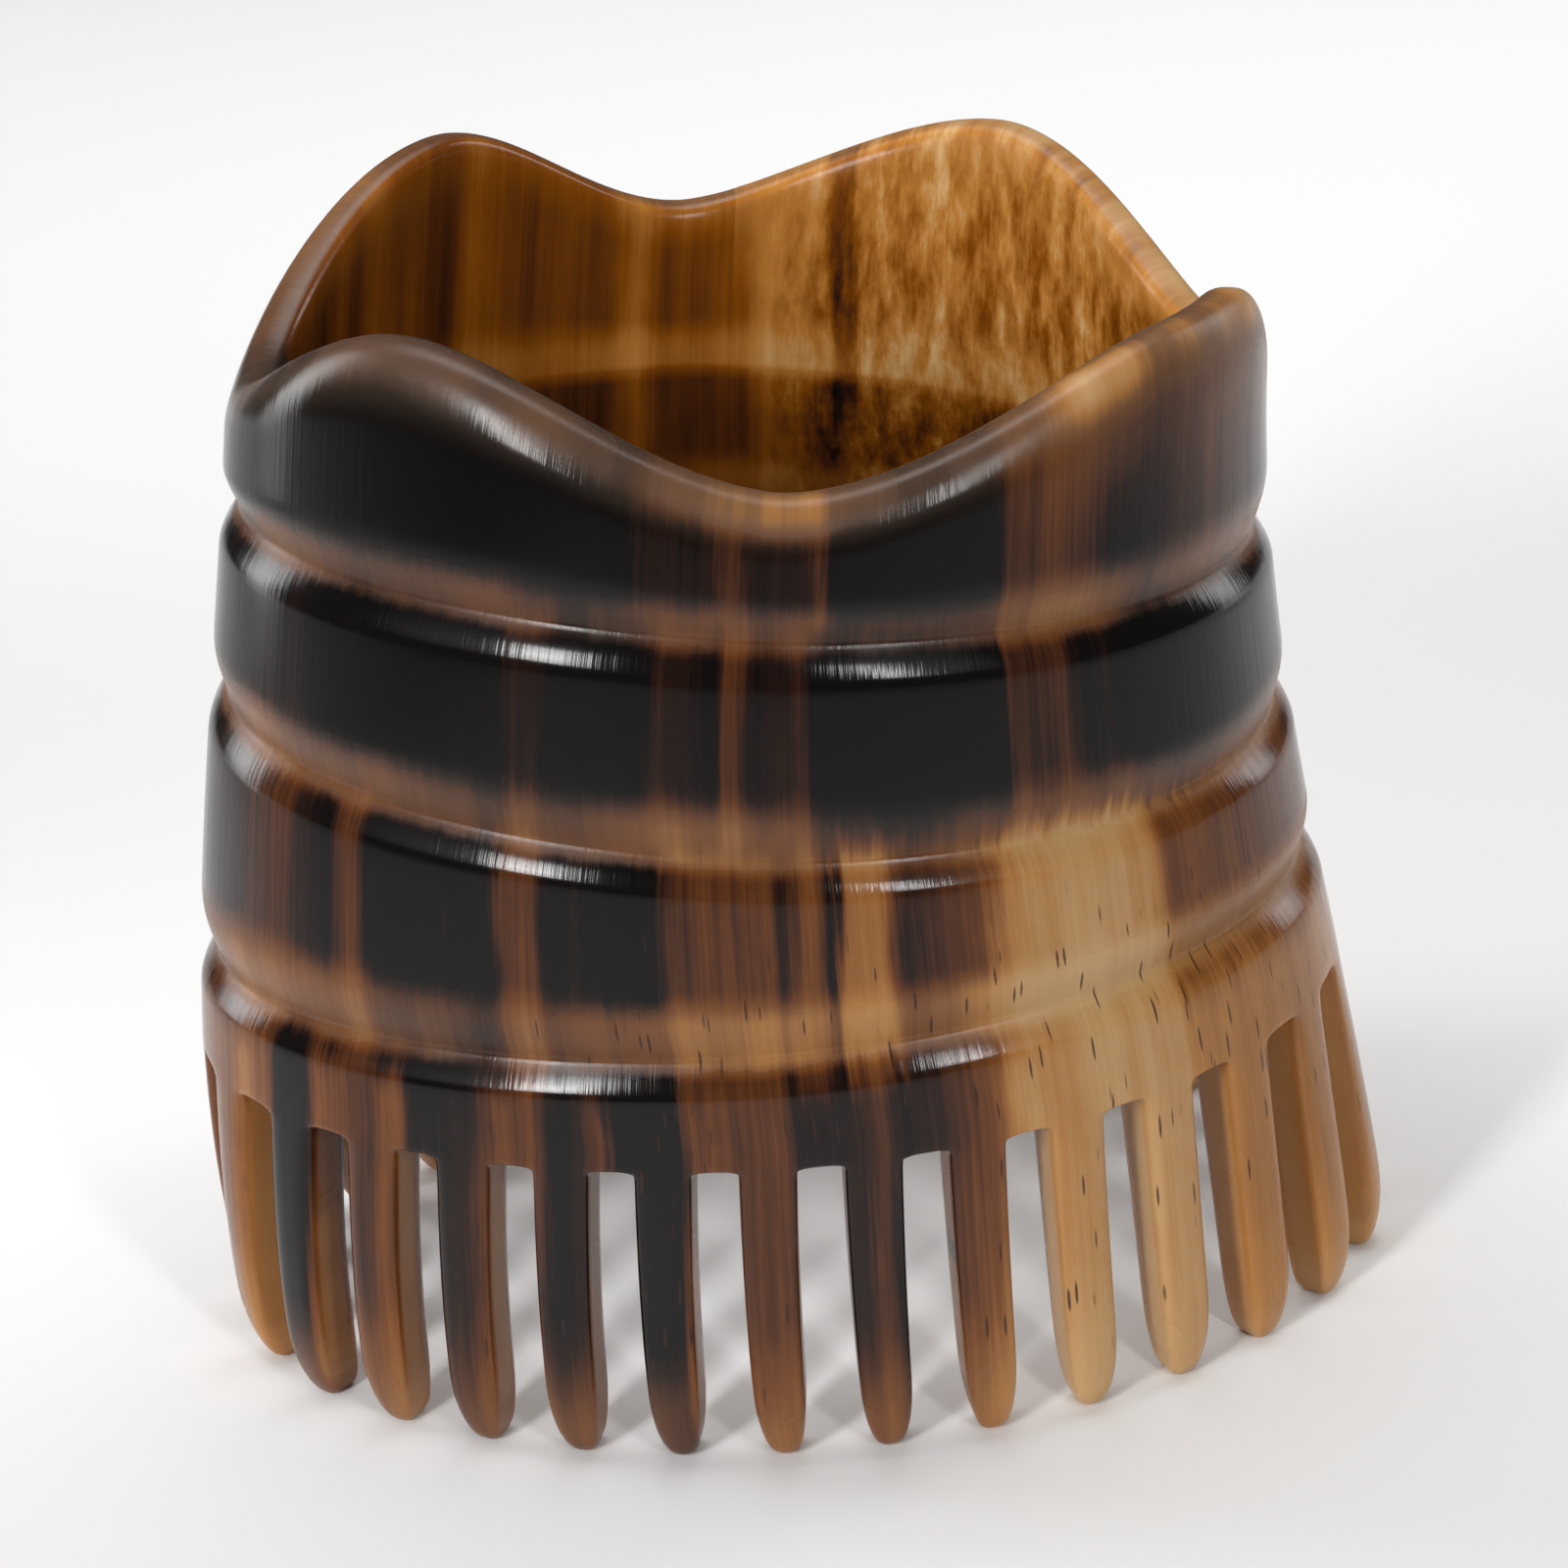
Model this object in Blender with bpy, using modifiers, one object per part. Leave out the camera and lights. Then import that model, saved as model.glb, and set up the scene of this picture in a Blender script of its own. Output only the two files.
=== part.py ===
"""Ring comb cut from one slice of hollow horn: a waved rim, three carved grooves and teeth all round the lower edge.

Metres, +Z up. The comb stands on its tooth tips with its front towards -Y, and its origin is on that plane, under
the middle of its box. The wall is first turned as a round ring with level grooves and level slots, and is then
laid on the horn's own form: an oval that narrows upwards, on a curved axis, with tilted grooves and a waved rim.
"""

import math

import bmesh
import bpy
import numpy as np

# The horn's oval, measured outside.
BASE_WIDTH = 0.0728  # side to side at the tooth tips
TOP_WIDTH = 0.0608  # side to side at the rim's mean height
FRONT_DEPTH = 0.0224  # from the widest line forward to the front wall
BACK_DEPTH = 0.0290  # from the widest line back to the back wall
OVAL_POWER = 1.9  # 2 is an ellipse; less tightens the two sides
OVAL_SKEW = 0.06  # share by which the front is deeper on the +X side, and shallower on the other
WALL = 0.0034

# The horn's axis.
BEND_RADIUS = 0.232  # of the axis, which curves to +X upwards
BEND_LEVEL = 0.0238  # height where the axis stands upright
LEAN_BACK = 0.043  # rise over run of the axis towards +Y

# Heights of the stacked bands, from the tooth tips up, as they are at the middle of the wall's tilt.
TOOTH_LENGTH = 0.0201
SKIRT = 0.0068  # uncut wall between the slots and the lowest groove
LOW_BAND = 0.0132
MIDDLE_BAND = 0.0109
TOP_BAND = 0.0121

# How far each level tilts: its rise on the +X side, and its rise at the front.
ROOT_TILT = (-0.0006, -0.0005)
LOW_GROOVE_TILT = (-0.0002, -0.0006)
MIDDLE_GROOVE_TILT = (-0.0036, -0.0017)
HIGH_GROOVE_TILT = (-0.0038, 0.0003)

# The rim's valleys and crests in turn, from the front round by +X: degrees round, and height over the mean rim.
# The first crest is a broad one, so it has two stops.
RIM_WAVE = (
    (6, -0.0041),
    (52, 0.0004),
    (67, 0.0003),
    (104, -0.0055),
    (145, 0.0026),
    (186, -0.0016),
    (224, 0.0066),
    (272, -0.0008),
    (314, 0.0046),
)
RIM_OUTER_WIDTH = 0.0018
RIM_OUTER_DROP = 0.0020
RIM_INNER_RADIUS = 0.0009

# The grooves: the band above rolls in gently, and the band below has a tight shoulder.
GROOVE_DEPTH = 0.0011
GROOVE_ROLL = 0.0034
GROOVE_SHOULDER = 0.0013
GROOVE_ARC = math.radians(60)  # how much of a quarter turn each side of a groove makes

# The teeth.
TOOTH_PITCH = 0.00616  # at the middle of the wall; the real pitch is the nearest that fits a whole number
SLOT_WIDTH = 0.0027
SLOT_CORNER = 0.0008
SLOT_TAPER = 0.0004  # how much wider a slot is where the tips start to round
SLOT_CHAMFER = 0.0004
TOOTH_SLANT = 0.10  # sideways run over rise of a tooth
TIP_ROUND = 0.0055  # length of a tooth's rounded end
TIP_FLAT = 0.0009  # width of the flat that a tooth stands on
TIP_CURL = 0.0017  # how far a tip's outer face comes in
TIP_INNER_RADIUS = 0.0008
SLANT_MARGIN = 0.0012  # the slant ends this far above the slots

# Facets.
COLUMNS_PER_TOOTH = 2
ARC_STEPS = 4
SHOULDER_STEPS = 3
EDGE_STEPS = 2
PERIMETER_STEPS = 1440
CUT_OVERSHOOT = 0.0010  # how far a cutter reaches past the wall

# Levels that the driving heights give.
LOW_GROOVE = TOOTH_LENGTH + SKIRT
MIDDLE_GROOVE = LOW_GROOVE + LOW_BAND
HIGH_GROOVE = MIDDLE_GROOVE + MIDDLE_BAND
RIM = HIGH_GROOVE + TOP_BAND
SLANT_TOP = TOOTH_LENGTH + SLANT_MARGIN


def clear_scene():
    for obj in list(bpy.data.objects):
        bpy.data.objects.remove(obj)


def new_collection(name):
    collection = bpy.data.collections.new(name)
    bpy.context.scene.collection.children.link(collection)
    return collection


def horn_material():
    material = bpy.data.materials.new("polished_horn")
    material.use_nodes = True
    shader = material.node_tree.nodes["Principled BSDF"]
    shader.inputs["Base Color"].default_value = (0.16, 0.075, 0.032, 1.0)
    shader.inputs["Roughness"].default_value = 0.18
    shader.inputs["Metallic"].default_value = 0.0
    material.diffuse_color = (0.16, 0.075, 0.032, 1.0)
    return material


# --- the horn's form -------------------------------------------------------


def eased(share):
    """A share from 0 to 1 that starts and ends level."""
    share = min(max(share, 0.0), 1.0)
    return share * share * (3 - 2 * share)


def power(value, exponent):
    """A signed power, for the oval."""
    return math.copysign(abs(value) ** exponent, value)


def outer_point(angle, height):
    """The oval's outer surface. Angle 0 is the front, and a quarter turn is the +X side."""
    sine, cosine = math.sin(angle), math.cos(angle)
    half_width = (BASE_WIDTH - (BASE_WIDTH - TOP_WIDTH) * eased(height / RIM)) / 2
    depth = FRONT_DEPTH if cosine > 0 else BACK_DEPTH
    axis_x = (height - BEND_LEVEL) ** 2 / (2 * BEND_RADIUS)
    axis_y = LEAN_BACK * (height - BEND_LEVEL)
    x = axis_x + half_width * power(sine, 2 / OVAL_POWER)
    y = axis_y - depth * power(cosine, 2 / OVAL_POWER) * (1 + OVAL_SKEW * sine)
    return np.array((x, y))


def inward(angle, height):
    """The unit normal that points into the ring."""
    step = 1e-3
    along = outer_point(angle + step, height) - outer_point(angle - step, height)
    return np.array((-along[1], along[0])) / np.hypot(*along)


def arc_table():
    """Angles right round from the front, and the arc length at each along the middle of the wall's foot."""
    angles = np.linspace(0, 2 * math.pi, PERIMETER_STEPS + 1)
    points = np.array([outer_point(angle, 0.0) for angle in angles])
    middle = points + np.array([inward(angle, 0.0) for angle in angles]) * WALL / 2
    lengths = np.hypot(*np.diff(middle, axis=0).T)
    return angles, np.concatenate(([0.0], np.cumsum(lengths)))


ANGLES, ARCS = arc_table()
MIDDLE_PERIMETER = ARCS[-1]
TEETH = round(MIDDLE_PERIMETER / TOOTH_PITCH)
PITCH = MIDDLE_PERIMETER / TEETH
MIDDLE_RADIUS = MIDDLE_PERIMETER / (2 * math.pi)
TURNED_RADIUS = MIDDLE_RADIUS + WALL / 2


def tilted(tilt, angle):
    return tilt[0] * math.sin(angle) + tilt[1] * math.cos(angle)


def rim_wave(angle):
    """The rim's rise over its mean height: smooth between each valley and the next crest."""
    first_turn, first_rise = RIM_WAVE[0]
    turn = (math.degrees(angle) - first_turn) % 360 + first_turn
    stops = (*RIM_WAVE, (first_turn + 360, first_rise))
    for (start, low), (end, high) in zip(stops, stops[1:]):
        if turn <= end:
            return low + (high - low) * (1 - math.cos(math.pi * (turn - start) / (end - start))) / 2
    return first_rise


def levels_at(angle):
    """Pairs of a turned height and the lift that it gets at this angle."""
    return (
        (0.0, 0.0),
        (TOOTH_LENGTH, tilted(ROOT_TILT, angle)),
        (LOW_GROOVE, tilted(LOW_GROOVE_TILT, angle)),
        (MIDDLE_GROOVE, tilted(MIDDLE_GROOVE_TILT, angle)),
        (HIGH_GROOVE, tilted(HIGH_GROOVE_TILT, angle)),
        (RIM, rim_wave(angle)),
    )


def lifted(height, angle):
    """The height after the tilts and the wave. Between two levels the lift eases from one to the other."""
    levels = levels_at(angle)
    for (low, low_lift), (high, high_lift) in zip(levels, levels[1:]):
        if height <= high:
            return height + low_lift + (high_lift - low_lift) * eased((height - low) / (high - low))
    return height + levels[-1][1]


def laid_on_horn(point):
    """Where a point of the turned ring lies on the horn."""
    turn = math.atan2(point.x, -point.y) % (2 * math.pi)
    inset = TURNED_RADIUS - math.hypot(point.x, point.y)
    slant = TOOTH_SLANT * min(max(point.z, 0.0), SLANT_TOP)
    along = (turn * MIDDLE_RADIUS + slant) % MIDDLE_PERIMETER
    angle = float(np.interp(along, ARCS, ANGLES))
    height = lifted(point.z, angle)
    x, y = outer_point(angle, height) + inward(angle, height) * inset
    return x, y, height


# --- the turned ring ------------------------------------------------------


def arc(start, end, steps, leaves_level, sweep=math.pi / 2):
    """Points after start, up to end, on an elliptic arc that leaves start level or upright."""
    points = []
    for step in range(1, steps + 1):
        turn = sweep * step / steps
        bowed = (1 - math.cos(turn)) / (1 - math.cos(sweep))
        direct = math.sin(turn) / math.sin(sweep)
        across, down = (direct, bowed) if leaves_level else (bowed, direct)
        points.append((start[0] + (end[0] - start[0]) * across, start[1] + (end[1] - start[1]) * down))
    return points


def groove(height):
    """From the foot of the band above, in to the groove's bottom, and out over the next band's shoulder."""
    above = (0.0, height + GROOVE_ROLL)
    bottom = (GROOVE_DEPTH, height)
    below = (0.0, height - GROOVE_SHOULDER)
    shoulder = arc(below, bottom, SHOULDER_STEPS, False, GROOVE_ARC)
    return [above, *arc(above, bottom, ARC_STEPS, False, GROOVE_ARC), *shoulder[-2::-1], below]


def wall_profile():
    """The wall's section as (inset, height): down the outside, round the tips and up the inside."""
    crown = (RIM_OUTER_WIDTH, RIM)
    profile = [crown, *arc(crown, (0.0, RIM - RIM_OUTER_DROP), ARC_STEPS, True)]
    for height in (HIGH_GROOVE, MIDDLE_GROOVE, LOW_GROOVE):
        profile += groove(height)
    tip_top = (0.0, TIP_ROUND)
    profile += [(0.0, SLANT_TOP), tip_top, *arc(tip_top, (TIP_CURL, 0.0), ARC_STEPS, False)]
    foot = (WALL - TIP_INNER_RADIUS, 0.0)
    profile += [foot, *arc(foot, (WALL, TIP_INNER_RADIUS), EDGE_STEPS, True)]
    profile += [(WALL, height) for height in (SLANT_TOP, LOW_GROOVE, MIDDLE_GROOVE, HIGH_GROOVE)]
    inner_edge = (WALL, RIM - RIM_INNER_RADIUS)
    profile += [inner_edge, *arc(inner_edge, (WALL - RIM_INNER_RADIUS, RIM), EDGE_STEPS, False)]
    return profile


def helper(name, mesh, collection):
    obj = bpy.data.objects.new(name, mesh)
    obj.hide_render = True
    obj.display_type = "WIRE"
    collection.objects.link(obj)
    return obj


def turned_ring(collection):
    """The wall's section turned about Z, starting at the front so that its columns match the slots."""
    mesh = bpy.data.meshes.new("turned_ring")
    drawn = bmesh.new()
    corners = [drawn.verts.new((0.0, inset - TURNED_RADIUS, height)) for inset, height in wall_profile()]
    for first, second in zip(corners, corners[1:] + corners[:1]):
        drawn.edges.new((first, second))
    drawn.to_mesh(mesh)
    drawn.free()
    ring = helper("turned_ring", mesh, collection)
    screw = ring.modifiers.new("turn", "SCREW")
    screw.axis = "Z"
    screw.steps = TEETH * COLUMNS_PER_TOOTH
    screw.render_steps = screw.steps
    screw.use_merge_vertices = True
    screw.merge_threshold = 0.00001
    return ring


def slot_outline(growth):
    """A slot's outline as (across, height), grown by the chamfer everywhere but at the tips."""
    half = SLOT_WIDTH / 2 + growth
    top = TOOTH_LENGTH + growth
    corner = arc((half - SLOT_CORNER, top), (half, top - SLOT_CORNER), EDGE_STEPS, True)
    tip_slot = (SLOT_WIDTH + SLOT_TAPER) / 2
    tooth_half = PITCH / 2 - tip_slot
    flare = [(tip_slot + growth, TIP_ROUND)]
    for step in range(1, ARC_STEPS + 1):
        turn = math.pi / 2 * step / ARC_STEPS
        narrowed = (tooth_half - TIP_FLAT / 2) * (1 - math.cos(turn))
        fading = growth * (1 - step / ARC_STEPS)
        flare.append((tip_slot + narrowed + fading, TIP_ROUND * (1 - math.sin(turn))))
    below = (flare[-1][0], -CUT_OVERSHOOT)
    right = [(half - SLOT_CORNER, top), *corner, *flare, below]
    return right + [(-across, height) for across, height in reversed(right)]


def slot_cutters(collection):
    """One chamfered, radial slot, lofted through the wall and repeated round the ring."""
    layers = (
        (TURNED_RADIUS + CUT_OVERSHOOT, SLOT_CHAMFER + CUT_OVERSHOOT),
        (TURNED_RADIUS - SLOT_CHAMFER, 0.0),
        (TURNED_RADIUS - WALL + SLOT_CHAMFER, 0.0),
        (TURNED_RADIUS - WALL - CUT_OVERSHOOT, SLOT_CHAMFER + CUT_OVERSHOOT),
    )
    mesh = bpy.data.meshes.new("slot_cutters")
    cut = bmesh.new()
    for slot in range(TEETH):
        middle = 2 * math.pi * slot / TEETH
        rings = []
        for radius, growth in layers:
            ring = []
            for across, height in slot_outline(growth):
                turn = middle + across / MIDDLE_RADIUS
                ring.append(cut.verts.new((radius * math.sin(turn), -radius * math.cos(turn), height)))
            rings.append(ring)
        cut.faces.new(rings[0])
        cut.faces.new(rings[-1])
        for outer, inner in zip(rings, rings[1:]):
            for index, corner in enumerate(outer):
                cut.faces.new((outer[index - 1], corner, inner[index], inner[index - 1]))
    bmesh.ops.recalc_face_normals(cut, faces=cut.faces)
    cut.to_mesh(mesh)
    cut.free()
    return helper("slot_cutters", mesh, collection)


def cut_mesh(ring, cutters):
    """The ring's evaluated mesh with its slots cut."""
    slots = ring.modifiers.new("slots", "BOOLEAN")
    slots.operation = "DIFFERENCE"
    slots.solver = "EXACT"
    slots.object = cutters
    bpy.context.view_layer.update()
    graph = bpy.context.evaluated_depsgraph_get()
    return bpy.data.meshes.new_from_object(ring.evaluated_get(graph))


def centred_on_base(mesh):
    """Moves the origin to the middle of the box in X and Y, on the plane of the tips."""
    corners = np.array([vertex.co[:] for vertex in mesh.vertices])
    low, high = corners.min(axis=0), corners.max(axis=0)
    middle = (low + high) / 2
    for vertex in mesh.vertices:
        vertex.co.x -= middle[0]
        vertex.co.y -= middle[1]
        vertex.co.z -= low[2]


def horn_comb(collection, cutter_collection):
    ring = turned_ring(cutter_collection)
    mesh = cut_mesh(ring, slot_cutters(cutter_collection))
    for vertex in mesh.vertices:
        vertex.co = laid_on_horn(vertex.co)
    centred_on_base(mesh)
    mesh.name = "horn_comb"
    mesh.shade_smooth()
    mesh.set_sharp_from_angle(angle=math.radians(35))
    mesh.materials.clear()
    mesh.materials.append(horn_material())
    comb = bpy.data.objects.new("horn_comb", mesh)
    collection.objects.link(comb)
    return comb


def main():
    clear_scene()
    horn_comb(new_collection("beard_comb"), new_collection("cutters"))


main()
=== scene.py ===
"""A ring comb of polished horn, with a studio stage to show it on.

The comb is one piece, as the horn it is cut from. One tooth with the wall above it is drawn once. Geometry
Nodes repeat it round a circle, smooth it, and lay the ring on the horn's own form, an oval that narrows
upwards on a curved axis, with tilted grooves and a waved rim.
"""

import math

import bmesh
import bpy
from bpy.props import FloatProperty, FloatVectorProperty, IntProperty, PointerProperty
from mathutils import Matrix, Vector


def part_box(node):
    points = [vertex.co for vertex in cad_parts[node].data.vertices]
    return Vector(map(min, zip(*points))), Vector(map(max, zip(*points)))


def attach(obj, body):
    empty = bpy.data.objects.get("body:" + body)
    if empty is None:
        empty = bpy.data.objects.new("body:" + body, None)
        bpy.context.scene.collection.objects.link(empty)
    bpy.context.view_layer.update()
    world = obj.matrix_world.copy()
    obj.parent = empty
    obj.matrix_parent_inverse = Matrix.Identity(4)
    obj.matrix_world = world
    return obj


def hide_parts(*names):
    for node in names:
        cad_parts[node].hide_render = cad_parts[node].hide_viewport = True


bl_info = {
    "name": "Horn beard comb",
    "version": (1, 0, 0),
    "blender": (4, 5, 0),
    "location": "3D View > Sidebar > Horn comb",
    "description": "Builds a ring comb of polished horn and a studio stage for it",
    "category": "Add Mesh",
}

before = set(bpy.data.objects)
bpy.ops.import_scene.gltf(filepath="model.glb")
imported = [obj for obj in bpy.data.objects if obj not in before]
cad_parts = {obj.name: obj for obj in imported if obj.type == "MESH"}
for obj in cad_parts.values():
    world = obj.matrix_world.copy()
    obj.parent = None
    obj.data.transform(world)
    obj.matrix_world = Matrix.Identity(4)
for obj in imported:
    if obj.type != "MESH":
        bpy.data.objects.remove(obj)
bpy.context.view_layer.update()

MM = 1000.0  # millimetres in a metre

# How the form departs from a plain oval ring.
OVAL_POWER = 1.9  # 2 is an ellipse, and less is more pointed
OVAL_SKEW = 0.06  # how much deeper the ring is on the +X side
# Each tilt is a rise on the +X side and a rise at the front.
ROOT_TILT = (-0.0006, -0.0005)
LOW_GROOVE_TILT = (-0.0002, -0.0006)
MIDDLE_GROOVE_TILT = (-0.0036, -0.0017)
HIGH_GROOVE_TILT = (-0.0038, 0.0003)

# The rim's valleys and crests in turn: degrees round from the front by +X, and height over the mean rim.
RIM_WAVE = (
    (6, -0.0041),
    (52, 0.0004),
    (67, 0.0003),
    (104, -0.0055),
    (145, 0.0026),
    (186, -0.0016),
    (224, 0.0066),
    (272, -0.0008),
    (314, 0.0046),
)

# Small forms that every tooth, groove and edge shares, in metres where nothing else is said.
RIM_BEVEL = (0.0018, 0.0036)  # width and drop of the rim's rounded outer edge
RIM_INNER_RADIUS = 0.0009
GROOVE_ROLL = 0.0034
GROOVE_SHOULDER = 0.0021
GROOVE_SHARPNESS = 0.45  # 1 meets in a crease, and 0 is a smooth dip
GROOVE_ARC = math.radians(60)
TIP_FLAT = 0.0008
TIP_CURL = 0.0017
TIP_INNER_RADIUS = 0.0008
SLANT_MARGIN = 0.0012
EDGE = 0.00045  # distance of the loops that hold a cut edge or a groove's ends
EDGE_SHARE = 0.3  # most of a tooth's thickness that one edge may take
SLOT_LIP = 1.4 * EDGE  # how far the wall over a slot follows the slot's rounded end
SLOT_CORNER_DROP = 0.3 * EDGE
ROOT_LOOPS = (2.5 * EDGE, EDGE, 0.0)  # loops of the wall above the slots' tops
TOOTH_LOOPS = (0.66, 0.48)  # loops down a tooth, as shares of its length
TOOTH_EDGE = 0.0008  # how far the rounding of a tooth's edges reaches into the wall
TOOTH_DROP = 0.00025  # how far a tooth's face falls away at its edges
TOOTH_DROP_START = 0.002  # length over which that fall sets in
TOOTH_CROWN = 0.55  # share of a tooth's width that stays nearly flat
INNER_LOOP = 0.002  # distance of the inner wall's loops from a groove's level
MERGE_DISTANCE = 0.00002  # under which corners of neighbouring teeth become one
# Segments of each rounded form.
RIM_STEPS = 7
RIM_INNER_STEPS = 3
GROOVE_STEPS = (7, 5)  # above a groove's bottom and below it
TIP_STEPS = 7
PATH_STEPS = 720  # of the line along which the teeth are spaced

# The pigment round the ring: degrees from the front by +X, and shade, from 0 for clear horn to over 1 for
# black. Four charts for the front, from the teeth up to the top band, and two for the back.
FRONT_PIGMENT = (
    (
        (-90, 0.60), (-72, 0.55), (-66, 0.36), (-61, 0.50), (-59, 1.10), (-55, 1.10), (-53, 0.45),
        (-49, 0.55), (-45, 0.75), (-42, 0.46), (-40, 0.66), (-38, 0.98), (-33, 0.90), (-30, 0.56),
        (-26, 0.62), (-23, 1.10), (-19, 0.66), (-17, 1.12), (-11, 1.12), (-9, 0.55), (-4, 0.68),
        (1, 0.56), (4, 0.98), (8, 0.90), (10, 0.64), (12, 0.98), (15, 0.84), (20, 0.60), (25, 0.18),
        (36, 0.10), (50, 0.26), (90, 0.36),
    ),
    (
        (-90, 1.00), (-70, 0.90), (-60, 0.66), (-54, 0.85), (-50, 0.95), (-46, 0.60), (-43, 1.15),
        (-29.5, 1.12), (-28, 0.64), (-24, 0.62), (-22, 1.05), (-18, 0.98), (-16, 1.12), (-10.5, 1.12),
        (-9.5, 0.68), (-3, 0.66), (1, 0.58), (2.5, 0.90), (4.5, 0.50), (6, 0.62), (7, 1.05),
        (8.5, 0.38), (13, 0.36), (14.5, 0.84), (20, 0.74), (24, 0.54), (27, 0.22), (36, 0.10),
        (43, 0.18), (46, 0.56), (62, 0.60), (90, 0.70),
    ),
    (
        (-90, 1.10), (-70, 1.00), (-62, 0.92), (-55, 0.96), (-52, 1.14), (-29, 1.14), (-27.5, 0.88),
        (-24.5, 0.88), (-23, 1.12), (-13, 1.12), (-11, 0.84), (-8, 0.88), (-5, 1.05), (-3.2, 0.68),
        (-1.8, 0.68), (-0.4, 0.96), (5, 0.80), (7, 1.14), (26.5, 1.14), (28, 0.74), (31, 0.84),
        (34, 0.70), (38, 0.96), (41, 0.88), (45, 1.20), (60, 1.10), (72, 0.92), (90, 0.90),
    ),
    (
        (-90, 1.15), (-66, 1.10), (-55, 1.12), (-31, 1.14), (-28, 1.00), (-24, 1.10), (-21, 1.14),
        (-17, 1.15), (-14, 0.96), (-11, 0.84), (-8, 0.96), (-4.2, 0.76), (-2.6, 0.76), (-1, 0.92),
        (5, 0.86), (7, 0.74), (8.5, 1.14), (26, 1.14), (28, 0.74), (31, 0.80), (34, 0.66), (38, 0.72),
        (42, 0.92), (47, 0.96), (52, 0.80), (60, 0.74), (70, 0.80), (90, 0.84),
    ),
)
BACK_PIGMENT = (
    (
        (90, 0.60), (110, 0.50), (130, 0.46), (150, 0.44), (160, 0.46), (166, 0.56), (172, 0.48),
        (180, 0.52), (188, 0.62), (195, 0.50), (205, 0.66), (225, 0.58), (245, 0.68), (270, 0.75),
    ),
    (
        (90, 0.72), (112, 0.52), (125, 0.38), (150, 0.33), (161, 0.35), (163, 0.74), (165, 0.66),
        (167, 0.36), (176, 0.38), (180, 0.48), (190, 0.60), (196, 0.46), (204, 0.66), (215, 0.54),
        (224, 0.70), (236, 0.56), (250, 0.74), (270, 0.90),
    ),
)
# Where one chart gives way to the next: levels in millimetres, then degrees.
BAND_BLENDS = ((23.0, 28.0), (39.5, 42.0), (50.5, 53.0))
BACK_BLEND = (46.0, 52.0)
FRONT_END = (84.0, 96.0)
BACK_END = (258.0, 270.0)
SHADE_PLACES = (0.0, 0.22, 0.45, 0.66, 0.82, 0.97)  # shades at which the six colours, blond to black, stand

# Noises in the horn: millimetres across the fibres and along them, detail and roughness.
NOISES = {
    "wander": (9.0, 16.0, 1.0, 0.5),
    "ragged": (0.9, 30.0, 3.0, 0.65),
    "fibres": (0.34, 26.0, 3.0, 0.7),
    "broad": (2.6, 34.0, 2.0, 0.5),
    "mottle": (1.2, 2.2, 4.0, 0.62),
}

# Where the horn is paler, partly pigment cut away and partly painted glow where light gets through: spans in
# millimetres or degrees, and the share of the pigment that it takes away.
RIM_THIN = (-3.4, -0.6, 0.40)  # from and to, over the mean rim
RIM_SIDE_THIN = (-9.0, -2.0, 0.26)  # more of it on the right, from one angle to the other
RIM_SIDE = (18.0, 42.0)
RIM_VALLEY_THIN = (-3.0, -0.8, 0.25)  # more of it in the front valley
RIM_VALLEY = ((-16.0, -6.0), (8.0, 18.0))
GROOVE_THIN = ((5.4, 0.50), (4.4, 0.48), (3.8, 0.42))  # reach over each groove, and the share
GROOVE_THIN_START = (-1.2, -0.1)
GROOVE_THIN_FADE = 2.8
CUT_THIN = 0.40  # the share on the sides of the teeth and the tops of the slots
TIP_THIN = (12.0, 0.50)  # reach up a tooth, and the share
INNER_THIN = 0.65  # how much of it shows on the inner wall

# Where the horn is flecked: degrees over which it sets in and ends, and millimetres over which it sets in.
FLECKED_ANGLES = ((96.0, 118.0), (160.0, 180.0))
FLECKED_LEVELS = (28.0, 44.0)

INNER_FACE = (2.7, 3.2)  # insets between which the inner wall begins
# The light band over the high groove is painted glow of light coming through the thinner wall; the inner wall
# is darker below the line.
INNER_LINE = (50.7, 51.3)  # levels of the dark line inside, and of the end of the light band above it
INNER_BAND_END = (52.6, 54.8)

PORE_SPACING = 0.42  # in millimetres, across the fibres
PORE_RUN = 4.2  # in millimetres, along the fibres
PORE_EDGE = (0.14, 0.24)  # where a pore fades out, as shares of the spacing
PORE_RARITY = 0.42  # share of the places that have none
PORE_STRENGTH = 0.85
PORE_LEVELS = ((1.0, 8.0), (31.0, 39.0))  # millimetres over which they set in and end
PORE_LEFT = (-50.0, -20.0, 0.25, 1.0)  # degrees over which they grow, and from what to what
PORE_RIGHT = (70.0, 100.0, 0.0, 0.6)  # degrees over which they fade, and by how much

FLOOR_HALF = 6.0
COMB_MIDDLE = (0.0, 0.0, 0.035)  # what the lights face
CAMERA_PLACE = (0.00158, -0.23937, 0.14313)
CAMERA_PITCH = 24.99  # degrees below level
CAMERA_ROLL = -6.21  # degrees
CAMERA_LENS = 98.95  # in millimetres, on a sensor 36 mm wide


# --- what a user can change ---------------------------------------------------


def length(name, default, description):
    return FloatProperty(
        name=name, description=description, default=default, min=0.0001, unit="LENGTH", precision=4
    )


def ratio(name, default, description):
    return FloatProperty(name=name, description=description, default=default)


def colour(name, default, description):
    return FloatVectorProperty(
        name=name, description=description, default=default, size=3, min=0.0, max=1.0, subtype="COLOR"
    )


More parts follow.
